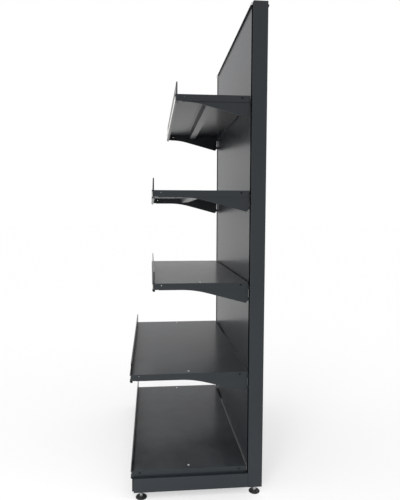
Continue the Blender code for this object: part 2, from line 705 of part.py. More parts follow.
def fillet_limit(front, corner, heel):
    """The largest radius whose arc still fits on the two runs beside the bracket's lower corner."""
    slope = Vector(heel) - Vector(corner)
    shorter_run = min(front - corner[0], slope.length)
    turn = math.atan2(-slope.y, -slope.x)
    return FILLET_RUN_SHARE * shorter_run / math.tan(turn / 2)


def make_brackets(name, depth, z):
    """A pair of plate brackets that hook into the uprights and carry the deck from inside its flanges."""
    hole = ring(depth - FRONT_HOLE_SETBACK, -FLANGE_HOLE_DROP, FLANGE_HOLE_RADIUS, STUD_SIDES)
    for side, sign in SIDES.items():
        mesh = outline_mesh("bracket", [bracket_outline(depth), hole], BRACKET_THICKNESS)
        x = sign * (UPRIGHT_X - SLOT_OFFSET)
        add_object(name + "_bracket_" + side, mesh, "anthracite_paint", section_frame(x, z))


def make_shelf(name, depth, z):
    """Everything that lifts off together as one shelf."""
    make_deck(name, depth, z)
    make_stiffener(name, depth, z)
    make_front_stop(name, depth, z)
    make_ticket_strip(name, depth, z)


def build():
    """Make the whole unit."""
    for side in SIDES:
        make_upright(side)
        make_top_cap(side)
        make_tie_bolt(side)
        make_foot_plate(side)
        make_leg(side)
        make_leg_nut(side)
        make_leg_plug(side)
    for place in foot_places():
        make_foot(*place)
    make_back()
    make_plinth()
    make_shelf("base", BASE_DEPTH, BASE_DECK_Z)
    for i, (depth, z) in enumerate(zip(SHELF_DEPTHS, SHELF_DECK_Z)):
        name = "shelf_%d" % (i + 1)
        make_shelf(name, depth, z)
        make_brackets(name, depth, z)


build()
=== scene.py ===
"""Looks for the retail shelving unit: paint, plastics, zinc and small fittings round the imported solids.

Metres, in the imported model's frame: +Z up, the shelves look along -Y, and the floor is Z = 0.
"""
import json
import math

import bmesh
import bpy
from mathutils import Matrix, Vector


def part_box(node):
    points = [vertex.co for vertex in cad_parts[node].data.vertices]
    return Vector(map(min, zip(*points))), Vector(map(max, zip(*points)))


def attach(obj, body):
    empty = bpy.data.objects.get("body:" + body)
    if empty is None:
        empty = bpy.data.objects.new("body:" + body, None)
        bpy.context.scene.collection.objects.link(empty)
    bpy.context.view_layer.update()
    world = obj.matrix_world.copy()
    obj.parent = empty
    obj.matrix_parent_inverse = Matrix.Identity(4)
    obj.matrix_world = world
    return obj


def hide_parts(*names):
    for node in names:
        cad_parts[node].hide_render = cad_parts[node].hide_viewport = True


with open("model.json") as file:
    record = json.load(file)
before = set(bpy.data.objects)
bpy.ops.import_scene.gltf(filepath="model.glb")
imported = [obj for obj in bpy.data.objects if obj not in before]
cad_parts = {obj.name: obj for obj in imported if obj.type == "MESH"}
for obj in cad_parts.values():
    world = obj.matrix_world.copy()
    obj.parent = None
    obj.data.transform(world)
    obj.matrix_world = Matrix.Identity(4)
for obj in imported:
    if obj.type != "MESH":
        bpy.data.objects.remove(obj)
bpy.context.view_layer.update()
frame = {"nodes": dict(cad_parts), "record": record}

# Names of the CAD pieces
SHELF_BODIES = {"base": "base_shelf", "shelf_1": "shelf_1", "shelf_2": "shelf_2", "shelf_3": "shelf_3",
                "shelf_4": "shelf_4"}
FEET = ("front_left", "front_right", "rear_left", "rear_right")
SIDES = {"left": -1, "right": 1}
PANELS = ("back_panel_1", "back_panel_2", "back_panel_3", "back_panel_4", "back_panel_5")

# Camera, at the photograph's place
CAMERA_PLACE = (2.4459, -0.2018, 1.2467)
CAMERA_YAW = 0.0908
CAMERA_PITCH = -0.0785
CAMERA_ROLL = 0.0013
CAMERA_FAR = 200.0
FRAME_HEIGHT = 36.0
LENS = 32.73
SHIFT_RIGHT = 0.0155
SHIFT_UP = 0.0043

# Light and floor
WHITE = (1.0, 1.0, 1.0, 1.0)
SKY_LIGHT = 1.0
KEY_LAMP = {"place": (2.8, -1.2, 0.8), "size": 1.0, "power": 7.5, "cone": math.radians(70)}
FILL_LAMP = {"place": (-3.0, -3.0, 3.0), "size": 4.0, "power": 4.0, "cone": math.pi}
LAMP_AIM = (0.40, 0.0, 0.0)
FLOOR_RADIUS = 60.0
FLOOR_SIDES = 96
FLOOR_COLOUR = (0.99, 0.99, 0.99, 1.0)
FLOOR_ROUGHNESS = 0.9
FLOOR_WHITE_SHARE = 0.45

# Colours, linear
PAINT = (0.0145, 0.0183, 0.0220, 1.0)
PAINT_DRIFT = (0.0175, 0.0216, 0.0255, 1.0)
# The back's paint: the frame's anthracite, made lighter to paint in light on the back panels
PANEL_PAINT_AND_LIGHT = (0.0190, 0.0225, 0.0262, 1.0)
PANEL_PAINT_AND_LIGHT_DRIFT = (0.0220, 0.0258, 0.0297, 1.0)
SHELF_PAINT = (0.0125, 0.0160, 0.0190, 1.0)
SHELF_PAINT_DRIFT = (0.0150, 0.0187, 0.0222, 1.0)
# Painted shade: near-black colour of the uprights' front grooves, standing in for the shade inside them
GROOVE_PAINTED_SHADE = (0.0035, 0.0042, 0.0050, 1.0)
# Dust colour; on the deck tops it also paints in light
DUST_AND_LIGHT_TONE = (0.145, 0.152, 0.160, 1.0)
CAP_PLASTIC = (0.022, 0.025, 0.027, 1.0)
CAP_PLASTIC_DRIFT = (0.030, 0.033, 0.035, 1.0)
FOOT_PLASTIC = (0.008, 0.008, 0.009, 1.0)
FOOT_PLASTIC_DRIFT = (0.014, 0.014, 0.014, 1.0)
# Painted shade: near-black of the plugs put in the flange holes in place of the shade inside them
PLUG_SHADE_TONE = (0.0045, 0.0045, 0.0050, 1.0)
PLUG_SHADE_DRIFT = (0.0065, 0.0065, 0.0070, 1.0)
ZINC = (0.78, 0.79, 0.80, 1.0)
ZINC_DULL = (0.60, 0.62, 0.64, 1.0)
# Painted highlight: near-white rivet colour standing in for the glint on the domed heads
RIVET_GLINT = (0.90, 0.91, 0.92, 1.0)
RIVET_GLINT_DULL = (0.80, 0.82, 0.84, 1.0)
TICKET = (0.80, 0.78, 0.71, 1.0)
TICKET_DRIFT = (0.84, 0.82, 0.76, 1.0)

# Finish of the painted pieces: film weight, film roughness, dust on faces that look up (on the decks also
# painted light) and gloss of the matt body
FRAME_FINISH = {"tones": (PAINT, PAINT_DRIFT), "film": 0.50, "film_roughness": 0.28, "dust_and_light": 0.03,
                "gloss": 0.05}
PANEL_FINISH = {"tones": (PANEL_PAINT_AND_LIGHT, PANEL_PAINT_AND_LIGHT_DRIFT), "film": 0.46, "film_roughness": 0.22,
                "dust_and_light": 0.03, "gloss": 0.05}
SHELF_FINISH = {"tones": (SHELF_PAINT, SHELF_PAINT_DRIFT), "film_roughness": 0.22, "gloss": 0.09}
SHELF_FILM = {"base": 0.44, "shelf_1": 0.43, "shelf_2": 0.42, "shelf_3": 0.46, "shelf_4": 0.46}
# Dust on each deck's top, its amount raised to paint in light falling on that deck
SHELF_DUST_AND_LIGHT = {"base": 0.52, "shelf_1": 0.50, "shelf_2": 0.70, "shelf_3": 0.33, "shelf_4": 0.33}
# Painted shade: the film left in the uprights' front grooves, nearly none, so their painted dark reads as
# shade
GROOVE_SHADE_FILM = 0.04
BODY_ROUGHNESS = 0.5

# Patterns: a noise has scale, detail and roughness, a range has two limits and what they become, and a relief
# has strength and depth
PEEL_SCALE = 420.0
PEEL_TEXTURE = (1.5, 0.45)
SPRAY_FINENESS = 3.3
SPRAY_DETAIL = 1.0
SPRAY_SHARE = 0.25
PEEL_RELIEF = (0.35, 0.00006)
TONE_NOISE = (2.3, 4.0, 0.6)
TONE_RANGE = (0.32, 0.68)
SMEAR_NOISE = (13.0, 5.0, 0.62)
SMEAR_RANGE = (0.3, 0.7, -1.0, 1.0)
SMEAR = 0.012
SPECK_SCALE = 900.0
SPECK_DETAIL = 2.0
SPECK_RANGE = (0.4, 0.75, 0.35, 1.0)
CLOUD_NOISE = (5.0, 5.0, 0.6)
CLOUD_RANGE = (0.35, 0.7, 0.25, 1.0)
SETTLING_RANGE = (0.6, 0.98)
DUST_MATTING = 0.5
GRAIN_SCALE = 1500.0
GRAIN_TEXTURE = (3.0, 0.6)
GRAIN_GLOSS_RANGE = (0.3, 0.7, -0.06, 0.06)
GRAIN_RELIEF = (0.4, 0.00005)
MOULD_NOISE = (60.0, 3.0)
MOULD_RANGE = (0.3, 0.7)
ZINC_NOISE = (240.0, 4.0, 0.6)
ZINC_RANGE = (0.3, 0.72)
ZINC_GLOSS_RANGE = (0.0, 1.0, 0.24, 0.42)
ZINC_STRETCH = (1.0, 1.0, 9.0)
ZINC_LINES = (700.0, 2.0)
ZINC_RELIEF = (0.25, 0.00003)
TICKET_NOISE = (8.0, 3.0)
TICKET_RANGE = (0.3, 0.7)
TICKET_GLOSS_RANGE = (0.3, 0.7, 0.26, 0.36)
TICKET_STRETCH = (0.02, 1.0, 1.0)
TICKET_LINES = (900.0, 2.0)
TICKET_RELIEF = (0.2, 0.00004)

# Roughness and gloss of the mouldings, and the share of metal in the zinc
CAP_ROUGHNESS = 0.55
FOOT_ROUGHNESS = 0.6
PLUG_ROUGHNESS = 0.8
PLASTIC_GLOSS = 0.5
PLUG_GLOSS = 0.1
ZINC_METAL = 1.0
# Little metal, so the rivets' near-white colour shows as a painted glint
RIVET_METAL = 0.15

# The uprights' front groove
GROOVE_LIP = 0.0022
GROOVE_DEPTH = 0.0040
GROOVE_MARGIN = 0.0002

# Rivets, screws and plugs; a profile holds shares of the radius and of the height
HEAD_SINK = 0.0002
RIVET_RADIUS = 0.0045
RIVET_HEIGHT = 0.0009
RIVET_STEPS = 5
RIVET_FULLNESS = 0.6
RIVET_CROWN = 0.2
RIVET_SIDES = 16
RIVET_FROM_END = 0.030
SCREW_FLANGE_RADIUS = 0.0050
SCREW_FLANGE_HEIGHT = 0.0010
SCREW_FLANGE_RIM = 0.5
SCREW_HEX_RADIUS = 0.0040
SCREW_HEX_FOOT = 0.4
SCREW_HEIGHT = 0.0036
SCREW_CHAMFER = 0.0005
SCREW_SETBACK = 0.0100
SCREW_FROM_EDGE = 0.050
PANEL_SHEET = 0.001
PLUG_RADIUS = 0.0044
PLUG_HEIGHT = 0.0010
PLUG_PROFILE = ((1.0, 0.4), (0.85, 0.8), (0.5, 1.0))
PLUG_SINK = 0.0001
PLUG_SHANK_RADIUS = 0.0017
PLUG_SHANK = 0.0020
PLUG_DROP = 0.010
FRONT_PLUG_REACH = 0.485
REAR_PLUG_REACH = 0.039

# Foot studs; the foot and the tip are shares of the crest and of the core
THREAD_CORE = 0.0043
THREAD_RIDGE = 0.00065
THREAD_CREST = 0.0052
THREAD_PITCH = 0.0015
THREAD_START = 0.0006
THREAD_RUNOUT = 0.002
THREAD_STEPS = 24
RIDGE_SIDES = 4
STUD_FOOT = 0.96
STUD_TIP = 0.72
STUD_TIP_LENGTH = 0.0012
COLLAR_LIFT = 0.0058
COLLAR_HEIGHT = 0.005
COLLAR_CHAMFER = 0.0006

# Foot pads: inset and height along the rim, radius and height of the waist, radius and drop of the boss
PAD_RIM = ((0.0022, 0.0), (0.0008, 0.0003), (0.0002, 0.0010), (0.0, 0.0020), (0.0003, 0.0030),
           (0.0012, 0.0040), (0.0030, 0.0047), (0.0055, 0.0051), (0.0062, 0.0046), (0.0074, 0.0046),
           (0.0080, 0.0055))
PAD_WAIST = ((0.0125, 0.0061), (0.0108, 0.0064), (0.0101, 0.0071))
PAD_BOSS = ((0.0099, 0.0008), (0.0094, 0.0001), (0.0086, 0.0), (0.0060, 0.0))

# Ticket strips
STRIP_BEAD = 0.0022
STRIP_BEAD_STEPS = 6
STRIP_FACE = 0.0009
STRIP_STEP = 0.0004
STRIP_EDGE = 0.0003

# Weld beads
BEAD_RADIUS = 0.0016
BEAD_RIPPLE = 0.0011
BEAD_STEPS = 4.0
BEAD_WAVE = 0.14
BEAD_MEAN = 0.9
BEAD_SIDES = 10
BEAD_SPREAD = 0.0018
BEAD_FROM_FOOT = 0.004
BEAD_FROM_TOP = 0.006
BEAD_FROM_SIDE = 0.003

# Facets
PAD_SIDES = 48
SMALL_SIDES = 24
HEX_SIDES = 6
CHAMFER_RISE = 0.6
ROUND_ANGLE = math.radians(32)
MERGE_DISTANCE = 1e-7


def feed(tree, made, inputs):
    """Fills the inputs of a node: a value is set, and an output socket is linked."""
    for key, value in inputs.items():
        if isinstance(value, bpy.types.NodeSocket):
            tree.links.new(value, made.inputs[key])
        else:
            made.inputs[key].default_value = value


def node(tree, kind, inputs=None, **settings):
    """One node of a tree with its settings and inputs."""
    made = tree.nodes.new(kind)
    for name, value in settings.items():
        setattr(made, name, value)
    feed(tree, made, inputs or {})
    return made


def math_node(tree, operation, first, second=0.0, clamp=False):
    """The value of a Math node."""
    made = node(tree, "ShaderNodeMath", {0: first, 1: second}, operation=operation, use_clamp=clamp)
    return made.outputs[0]


def colour_mix(tree, share, first, second):
    """The colour between two colours."""
    mix = node(tree, "ShaderNodeMix", {0: share, 6: first, 7: second}, data_type="RGBA")
    return mix.outputs[2]


def noise(tree, vector, scale, detail=2.0, roughness=0.5):
    """The value of a Noise Texture."""
    made = node(tree, "ShaderNodeTexNoise",
                {"Vector": vector, "Scale": scale, "Detail": detail, "Roughness": roughness})
    return made.outputs["Fac"]


def spread(tree, value, low, high, to_low=0.0, to_high=1.0):
    """A value's range from low to high, spread over another range and held at its ends."""
    made = node(tree, "ShaderNodeMapRange", {"Value": value, "From Min": low, "From Max": high,
                                             "To Min": to_low, "To Max": to_high})
    return made.outputs["Result"]


def object_place(tree):
    """The place of a point in the piece's own frame."""
    return node(tree, "ShaderNodeTexCoord").outputs["Object"]


def shader_group(name, takes, gives):
    """An empty shader group with named inputs and outputs: the group, its given values and its result."""
    group = bpy.data.node_groups.new(name, "ShaderNodeTree")
    for label, value in takes.items():
        kind = "NodeSocketColor" if isinstance(value, tuple) else "NodeSocketFloat"
        group.interface.new_socket(label, in_out="INPUT", socket_type=kind).default_value = value
    for label in gives:
        kind = "NodeSocketColor" if label == "Colour" else "NodeSocketFloat"
        group.interface.new_socket(label, in_out="OUTPUT", socket_type=kind)
    return group, group.nodes.new("NodeGroupInput").outputs, group.nodes.new("NodeGroupOutput")


def make_coat_group():
    """Sprayed and baked paint: orange peel, a slow drift of tone, and faint smears in the gloss."""
    group, given, result = shader_group(
        "powder_coat",
        {"Colour": PAINT, "Drift Colour": PAINT_DRIFT, "Peel Scale": PEEL_SCALE, "Roughness": BODY_ROUGHNESS,
         "Film": FRAME_FINISH["film"], "Smear": SMEAR},
        ("Colour", "Roughness", "Film", "Height"))
    place = object_place(group)
    peel = noise(group, place, given["Peel Scale"], *PEEL_TEXTURE)
    fine_scale = math_node(group, "MULTIPLY", given["Peel Scale"], SPRAY_FINENESS)
    spray = math_node(group, "MULTIPLY", noise(group, place, fine_scale, SPRAY_DETAIL), SPRAY_SHARE)
    tone = spread(group, noise(group, place, *TONE_NOISE), *TONE_RANGE)
    smear = spread(group, noise(group, place, *SMEAR_NOISE), *SMEAR_RANGE)
    smear = math_node(group, "MULTIPLY", smear, given["Smear"])
    feed(group, result, {"Colour": colour_mix(group, tone, given["Colour"], given["Drift Colour"]),
                         "Roughness": math_node(group, "ADD", given["Roughness"], smear),
                         "Film": math_node(group, "ADD", given["Film"], smear),
                         "Height": math_node(group, "ADD", peel, spray)})
    return group


def make_dust_group():
    """Fine dust on faces that look up, whose amount on the decks also paints in light on their tops: a mask.
    """
    group, given, result = shader_group(
        "dust_and_painted_light", {"Amount": FRAME_FINISH["dust_and_light"], "Speck Scale": SPECK_SCALE}, ("Mask",))
    place = object_place(group)
    normal = node(group, "ShaderNodeNewGeometry").outputs["Normal"]
    up = node(group, "ShaderNodeSeparateXYZ", {0: normal}).outputs["Z"]
    facing = spread(group, up, *SETTLING_RANGE)
    clouds = spread(group, noise(group, place, *CLOUD_NOISE), *CLOUD_RANGE)
    specks = spread(group, noise(group, place, given["Speck Scale"], SPECK_DETAIL), *SPECK_RANGE)
    mask = math_node(group, "MULTIPLY", facing, math_node(group, "MULTIPLY", clouds, specks))
    feed(group, result, {"Mask": math_node(group, "MULTIPLY", mask, given["Amount"], True)})
    return group


def make_grain_group():
    """The fine sparked grain of a moulding, with a slow drift of tone and of gloss."""
    group, given, result = shader_group(
        "moulded_grain",
        {"Colour": CAP_PLASTIC, "Drift Colour": CAP_PLASTIC_DRIFT, "Grain Scale": GRAIN_SCALE,
         "Roughness": CAP_ROUGHNESS},
        ("Colour", "Roughness", "Height"))
    place = object_place(group)
    grain = noise(group, place, given["Grain Scale"], *GRAIN_TEXTURE)
    tone = spread(group, noise(group, place, *MOULD_NOISE), *MOULD_RANGE)
    gloss = spread(group, grain, *GRAIN_GLOSS_RANGE)
    feed(group, result, {"Colour": colour_mix(group, tone, given["Colour"], given["Drift Colour"]),
                         "Roughness": math_node(group, "ADD", given["Roughness"], gloss), "Height": grain})
    return group


def new_material(name):
    """A material with only its Principled shader and output: the material, its node tree and the shader."""
    material = bpy.data.materials.new(name)
    material.use_nodes = True
    tree = material.node_tree
    return material, tree, tree.nodes["Principled BSDF"]


def bump(tree, height, strength, distance):
    """The normal of a surface with a height as small relief."""
    made = node(tree, "ShaderNodeBump", {"Height": height, "Strength": strength, "Distance": distance})
    return made.outputs["Normal"]


def groove_shade_mask(tree):
    """One in the front grooves of the two uprights, where shade is painted into the coat, and zero elsewhere.
    """
    low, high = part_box("upright_right")
    centre = (low.x + high.x) / 2
    reach = (high.x - low.x) / 2 - GROOVE_LIP + GROOVE_MARGIN
    along = node(tree, "ShaderNodeSeparateXYZ", {0: object_place(tree)}).outputs
    from_centre = math_node(tree, "SUBTRACT", math_node(tree, "ABSOLUTE", along["X"]), centre)
    between_lips = math_node(tree, "LESS_THAN", math_node(tree, "ABSOLUTE", from_centre), reach)
    behind_lips = math_node(tree, "GREATER_THAN", along["Y"], low.y + GROOVE_MARGIN)
    before_tube = math_node(tree, "LESS_THAN", along["Y"], low.y + GROOVE_DEPTH + GROOVE_MARGIN)
    return math_node(tree, "MULTIPLY", between_lips, math_node(tree, "MULTIPLY", behind_lips, before_tube))


def make_paint(name, coat, dust, tones, film, film_roughness, dust_and_light, gloss, groove_shaded=False):
    """Satin anthracite powder coat: a matt body under a thin smooth film; in the uprights' front grooves the
    colour is painted dark and the film nearly taken off, as painted shade.
    """
    material, tree, shader = new_material(name)
    paint = node(tree, "ShaderNodeGroup", {"Colour": tones[0], "Drift Colour": tones[1],
                                           "Roughness": BODY_ROUGHNESS, "Film": film}, node_tree=coat).outputs
    # Dust on faces that look up, and on the decks painted light as well
    mask = node(tree, "ShaderNodeGroup", {"Amount": dust_and_light}, node_tree=dust).outputs["Mask"]
    colour = colour_mix(tree, mask, paint["Colour"], DUST_AND_LIGHT_TONE)
    weight = paint["Film"]
    if groove_shaded:
        # Painted shade: the front grooves get a near-black colour and almost no film
        groove = groove_shade_mask(tree)
        colour = colour_mix(tree, groove, colour, GROOVE_PAINTED_SHADE)
        weight = spread(tree, groove, 0.0, 1.0, weight, GROOVE_SHADE_FILM)
    matting = math_node(tree, "MULTIPLY", mask, DUST_MATTING)
    feed(tree, shader, {"Base Color": colour, "Coat Weight": weight,
                        "Roughness": math_node(tree, "ADD", paint["Roughness"], matting, True),
                        "Specular IOR Level": gloss, "Coat Roughness": film_roughness,
                        "Normal": bump(tree, paint["Height"], *PEEL_RELIEF)})
    return material


def make_paints():
    """The paint of the frame, of the uprights, of the back and of each shelf."""
    coat, dust = make_coat_group(), make_dust_group()
    paints = {"frame": make_paint("frame_paint", coat, dust, **FRAME_FINISH),
              "upright": make_paint("upright_paint", coat, dust, groove_shaded=True, **FRAME_FINISH),
              # The back's paint is lighter than the frame's, as painted light
              "panel": make_paint("panel_paint_and_light", coat, dust, **PANEL_FINISH)}
    for shelf in SHELF_BODIES:
        paints[shelf] = make_paint(shelf + "_paint", coat, dust, film=SHELF_FILM[shelf],
                                   dust_and_light=SHELF_DUST_AND_LIGHT[shelf], **SHELF_FINISH)
    return paints


def make_moulding(name, grain, colour, drift, roughness, gloss=PLASTIC_GLOSS):
    """Matt moulded plastic, and the matt black of the plugs that stand in for the shade in the flange holes.
    """
    material, tree, shader = new_material(name)
    skin = node(tree, "ShaderNodeGroup", {"Colour": colour, "Drift Colour": drift, "Roughness": roughness},
                node_tree=grain).outputs
    feed(tree, shader, {"Base Color": skin["Colour"], "Roughness": skin["Roughness"],
                        "Specular IOR Level": gloss, "Normal": bump(tree, skin["Height"], *GRAIN_RELIEF)})
    return material


def make_zinc(name, tones, metal):
    """Bright zinc plating, or with less metal the near-white zinc of the rivet heads, whose colour paints in
    their glint: cloudy brightness and fine drawn lines.
    """
    material, tree, shader = new_material(name)
    place = object_place(tree)
    clouds = spread(tree, noise(tree, place, *ZINC_NOISE), *ZINC_RANGE)
    drawn = node(tree, "ShaderNodeMapping", {"Vector": place, "Scale": ZINC_STRETCH}).outputs[0]
    lines = noise(tree, drawn, *ZINC_LINES)
    feed(tree, shader, {"Base Color": colour_mix(tree, clouds, *tones), "Metallic": metal,
                        "Roughness": spread(tree, clouds, *ZINC_GLOSS_RANGE),
                        "Normal": bump(tree, lines, *ZINC_RELIEF)})
    return material


def make_ticket_plastic():
    """Smooth cream extrusion with faint die lines along its length."""
    material, tree, shader = new_material("ticket_plastic")
    place = object_place(tree)
    drawn = node(tree, "ShaderNodeMapping", {"Vector": place, "Scale": TICKET_STRETCH}).outputs[0]
    lines = noise(tree, drawn, *TICKET_LINES)
    tone = spread(tree, noise(tree, place, *TICKET_NOISE), *TICKET_RANGE)
    feed(tree, shader, {"Base Color": colour_mix(tree, tone, TICKET, TICKET_DRIFT),
                        "Roughness": spread(tree, lines, *TICKET_GLOSS_RANGE),
                        "Normal": bump(tree, lines, *TICKET_RELIEF)})
    return material


def tidy_faces(mesh):
    """Smooth shading, apart from the edges that turn sharply."""
    mesh.shade_smooth()
    mesh.set_sharp_from_angle(angle=ROUND_ANGLE)


def mesh_from(work, name):
    """A mesh from a bmesh, with its faces turned outwards."""
    bmesh.ops.remove_doubles(work, verts=work.verts, dist=MERGE_DISTANCE)
    bmesh.ops.recalc_face_normals(work, faces=work.faces)
    mesh = bpy.data.meshes.new(name)
    work.to_mesh(mesh)
    work.free()
    return mesh


def in_scene(name, data):
    """A new object of the scene."""
    thing = bpy.data.objects.new(name, data)
    bpy.context.scene.collection.objects.link(thing)
    return thing


def add_ring(work, radius, height, sides, centre):
    """Points on a level circle."""
    turns = [math.tau * i / sides for i in range(sides)]
    return [work.verts.new((centre[0] + radius * math.cos(turn), centre[1] + radius * math.sin(turn), height))
            for turn in turns]


def add_turned(work, profile, sides, centre=(0.0, 0.0)):
    """A closed turned body from (radius, height) points, from its foot to its top."""
    rings = [add_ring(work, radius, height, sides, centre) for radius, height in profile]
    work.faces.new(list(reversed(rings[0])))
    work.faces.new(rings[-1])
    for low, high in zip(rings, rings[1:]):
        for i in range(sides):
            j = (i + 1) % sides
            work.faces.new((low[i], low[j], high[j], high[i]))


def add_hexagon(work, radius, low, high, chamfer, centre=(0.0, 0.0)):
    """A hexagon prism with chamfered rims."""
    inner, rise = radius - chamfer, chamfer * CHAMFER_RISE
    profile = [(inner, low), (radius, low + rise), (radius, high - rise), (inner, high)]
    add_turned(work, profile, HEX_SIDES, centre)


def box_centre(low, high):
    """The middle of a box, seen from above."""
    return (low.x + high.x) / 2, (low.y + high.y) / 2


def show(name, mesh, body, material, replaced):
    """A finished piece: its object at the origin, its material, its body and the node it stands for."""
    piece = in_scene(name, mesh)
    mesh.materials.append(material)
    tidy_faces(mesh)
    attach(piece, body)
    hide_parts(*replaced)


def geometry_tree(name, takes):
    """An empty Geometry Nodes tree with a geometry input, named inputs and one result."""
    tree = bpy.data.node_groups.new(name, "GeometryNodeTree")
    tree.interface.new_socket("Geometry", in_out="INPUT", socket_type="NodeSocketGeometry")
    for label, kind in takes.items():
        tree.interface.new_socket(label, in_out="INPUT", socket_type="NodeSocket" + kind)
    tree.interface.new_socket("Geometry", in_out="OUTPUT", socket_type="NodeSocketGeometry")
    return tree, tree.nodes.new("NodeGroupInput").outputs


def close_tree(tree, geometry, material):
    """The end of a tree: real geometry in its material."""
    real = node(tree, "GeometryNodeRealizeInstances", {"Geometry": geometry}).outputs[0]
    dressed = node(tree, "GeometryNodeSetMaterial", {"Geometry": real, "Material": material}).outputs[0]
    tree.links.new(dressed, tree.nodes.new("NodeGroupOutput").inputs[0])


def make_fitting_tree():
    """A fitting on every point, turned so that its top looks along the point's facing."""
    tree, given = geometry_tree("fittings_on_points",
                                {"Fitting": "Object", "Size": "Float", "Material": "Material"})
    facing = node(tree, "GeometryNodeInputNamedAttribute", {"Name": "facing"},
                  data_type="FLOAT_VECTOR").outputs[0]
    turn = node(tree, "FunctionNodeAlignRotationToVector", {"Vector": facing}, axis="Z").outputs[0]
    shape = node(tree, "GeometryNodeObjectInfo", {"Object": given["Fitting"]}).outputs["Geometry"]
    placed = node(tree, "GeometryNodeInstanceOnPoints", {"Points": given["Geometry"], "Instance": shape,
                                                         "Rotation": turn, "Scale": given["Size"]}).outputs[0]
    close_tree(tree, placed, given["Material"])
    return tree


def make_thread_tree():
    """A rolled thread round an upright stud, added to the stud that comes in."""
    tree, given = geometry_tree("stud_thread",
                                {"Turns": "Float", "Length": "Float", "Ridge Radius": "Float",
                                 "Ridge Size": "Float", "Start": "Vector", "Material": "Material"})
    coil = node(tree, "GeometryNodeCurveSpiral",
                {"Resolution": THREAD_STEPS, "Rotations": given["Turns"], "Height": given["Length"],
                 "Start Radius": given["Ridge Radius"], "End Radius": given["Ridge Radius"]}).outputs[0]
    upright = node(tree, "GeometryNodeSetCurveNormal", {"Curve": coil}, mode="Z_UP").outputs[0]
    ridge = node(tree, "GeometryNodeCurvePrimitiveCircle",
                 {"Resolution": RIDGE_SIDES, "Radius": given["Ridge Size"]}).outputs[0]
    swept = node(tree, "GeometryNodeCurveToMesh",
                 {"Curve": upright, "Profile Curve": ridge, "Fill Caps": True}).outputs[0]
    moved = node(tree, "GeometryNodeTransform", {"Geometry": swept, "Translation": given["Start"]}).outputs[0]
    joined = tree.nodes.new("GeometryNodeJoinGeometry")
    tree.links.new(given["Geometry"], joined.inputs[0])
    tree.links.new(moved, joined.inputs[0])
    close_tree(tree, joined.outputs[0], given["Material"])
    return tree


def make_bead_tree():
    """A rippled weld bead along every line."""
    tree, given = geometry_tree("weld_bead",
                                {"Bead Radius": "Float", "Ripple": "Float", "Material": "Material"})
    line = node(tree, "GeometryNodeMeshToCurve", {"Mesh": given["Geometry"]}).outputs[0]
    step = math_node(tree, "DIVIDE", given["Ripple"], BEAD_STEPS)
    fine = node(tree, "GeometryNodeResampleCurve", {"Curve": line, "Length": step}, mode="LENGTH").outputs[0]
    index = node(tree, "GeometryNodeInputIndex").outputs[0]
    wave = math_node(tree, "SINE", math_node(tree, "MULTIPLY", index, math.tau / BEAD_STEPS))
    size = node(tree, "ShaderNodeMath", {0: wave, 1: BEAD_WAVE, 2: BEAD_MEAN},
                operation="MULTIPLY_ADD").outputs[0]
    radius = math_node(tree, "MULTIPLY", size, given["Bead Radius"])
    ring = node(tree, "GeometryNodeCurvePrimitiveCircle",
                {"Resolution": BEAD_SIDES, "Radius": 1.0}).outputs[0]
    swept = node(tree, "GeometryNodeCurveToMesh",
                 {"Curve": fine, "Profile Curve": ring, "Scale": radius, "Fill Caps": True}).outputs[0]
    close_tree(tree, swept, given["Material"])
    return tree


def grown(name, base, tree, values, body):
    """A piece that a node tree makes from a base mesh, as a plain mesh that rides on a body."""
    piece = in_scene(name, base)
    modifier = piece.modifiers.new(tree.name, "NODES")
    modifier.node_group = tree
    for socket in tree.interface.items_tree:
        if socket.in_out == "INPUT" and socket.name in values:
            modifier[socket.identifier] = values[socket.name]
    graph = bpy.context.evaluated_depsgraph_get()
    mesh = bpy.data.meshes.new_from_object(piece.evaluated_get(graph), depsgraph=graph)
    piece.modifiers.clear()
    piece.data = mesh
    tidy_faces(mesh)
    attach(piece, body)
    return piece


def facing_points(name, places):
    """Points with the direction that each looks along."""
    mesh = bpy.data.meshes.new(name)
    mesh.from_pydata([place for place, facing in places], [], [])
    attribute = mesh.attributes.new("facing", "FLOAT_VECTOR", "POINT")
    for i, (place, facing) in enumerate(places):
        attribute.data[i].vector = facing
    return mesh


def rivet_shape():
    """Low domed rivet head, its foot just under Z = 0."""
    work = bmesh.new()
    turns = [i * math.pi / 2 / RIVET_STEPS for i in range(RIVET_STEPS)]
    dome = [(RIVET_RADIUS * math.cos(turn) ** RIVET_FULLNESS, RIVET_HEIGHT * math.sin(turn))
            for turn in turns]
    crown = (RIVET_RADIUS * RIVET_CROWN, RIVET_HEIGHT)
    add_turned(work, [(RIVET_RADIUS, -HEAD_SINK)] + dome + [crown], RIVET_SIDES)
    return in_scene("rivet_shape", mesh_from(work, "rivet_shape"))


def screw_shape():
    """Flanged hexagon screw head, its foot just under Z = 0."""
    work = bmesh.new()
    add_turned(work, [(SCREW_FLANGE_RADIUS, -HEAD_SINK),
                      (SCREW_FLANGE_RADIUS, SCREW_FLANGE_HEIGHT * SCREW_FLANGE_RIM),
                      (SCREW_HEX_RADIUS, SCREW_FLANGE_HEIGHT)], SMALL_SIDES)
    add_hexagon(work, SCREW_HEX_RADIUS, SCREW_FLANGE_HEIGHT * SCREW_HEX_FOOT, SCREW_HEIGHT, SCREW_CHAMFER)
    return in_scene("screw_shape", mesh_from(work, "screw_shape"))


